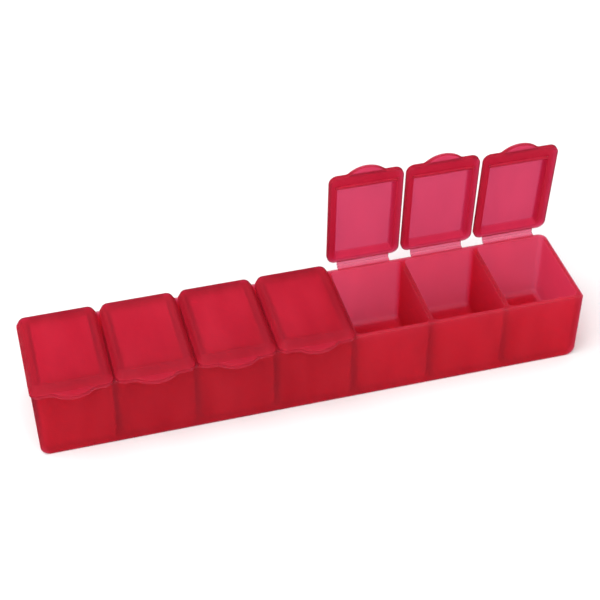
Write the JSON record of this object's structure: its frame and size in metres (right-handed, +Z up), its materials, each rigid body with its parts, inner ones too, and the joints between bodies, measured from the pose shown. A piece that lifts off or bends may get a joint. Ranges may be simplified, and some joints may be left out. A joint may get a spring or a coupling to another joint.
{
  "type": "weekly pill box",
  "caption": "Long translucent plastic tray of equal day compartments in a row, each shut by its own snap lid with a thumb tab on a living hinge.",
  "frame": {"origin": "centre of the tray's underside, on the surface it stands on", "axes": "+X along the row of compartments to the right, +Y from the thumb tabs at the front to the hinges at the rear, +Z up"},
  "size_m": [0.1528, 0.037, 0.056],
  "materials": {
    "tray_plastic": "frosted translucent red polypropylene",
    "lid_plastic": "frosted translucent red polypropylene",
    "hinge_film": "thin flexed film, paler than the walls"
  },
  "bodies": {
    "tray": {"tray": "tray_plastic", "tray_hinge_leaf_1": "hinge_film", "tray_hinge_leaf_2": "hinge_film", "tray_hinge_leaf_3": "hinge_film", "tray_hinge_leaf_4": "hinge_film", "tray_hinge_leaf_5": "hinge_film", "tray_hinge_leaf_6": "hinge_film", "tray_hinge_leaf_7": "hinge_film"},
    "lid_1": {"lid_1": "lid_plastic", "lid_hinge_leaf_1": "hinge_film"},
    "lid_2": {"lid_2": "lid_plastic", "lid_hinge_leaf_2": "hinge_film"},
    "lid_3": {"lid_3": "lid_plastic", "lid_hinge_leaf_3": "hinge_film"},
    "lid_4": {"lid_4": "lid_plastic", "lid_hinge_leaf_4": "hinge_film"},
    "lid_5": {"lid_5": "lid_plastic", "lid_hinge_leaf_5": "hinge_film"},
    "lid_6": {"lid_6": "lid_plastic", "lid_hinge_leaf_6": "hinge_film"},
    "lid_7": {"lid_7": "lid_plastic", "lid_hinge_leaf_7": "hinge_film"}
  },
  "joints": [
    {"name": "lid_1_hinge", "type": "hinge", "parent": "tray", "child": "lid_1", "pos_m": [-0.06514, 0.01585, 0.02185], "axis": [-1, 0, 0], "range_deg": [0, 180]},
    {"name": "lid_2_hinge", "type": "hinge", "parent": "tray", "child": "lid_2", "pos_m": [-0.04343, 0.01585, 0.02185], "axis": [-1, 0, 0], "range_deg": [0, 180]},
    {"name": "lid_3_hinge", "type": "hinge", "parent": "tray", "child": "lid_3", "pos_m": [-0.02171, 0.01585, 0.02185], "axis": [-1, 0, 0], "range_deg": [0, 180]},
    {"name": "lid_4_hinge", "type": "hinge", "parent": "tray", "child": "lid_4", "pos_m": [0, 0.01585, 0.02185], "axis": [-1, 0, 0], "range_deg": [0, 180]},
    {"name": "lid_5_hinge", "type": "hinge", "parent": "tray", "child": "lid_5", "pos_m": [0.02171, 0.01585, 0.02185], "axis": [-1, 0, 0], "range_deg": [-86.1, 93.9]},
    {"name": "lid_6_hinge", "type": "hinge", "parent": "tray", "child": "lid_6", "pos_m": [0.04343, 0.01585, 0.02185], "axis": [-1, 0, 0], "range_deg": [-85.4, 94.6]},
    {"name": "lid_7_hinge", "type": "hinge", "parent": "tray", "child": "lid_7", "pos_m": [0.06514, 0.01585, 0.02185], "axis": [-1, 0, 0], "range_deg": [-83.8, 96.2]}
  ]
}
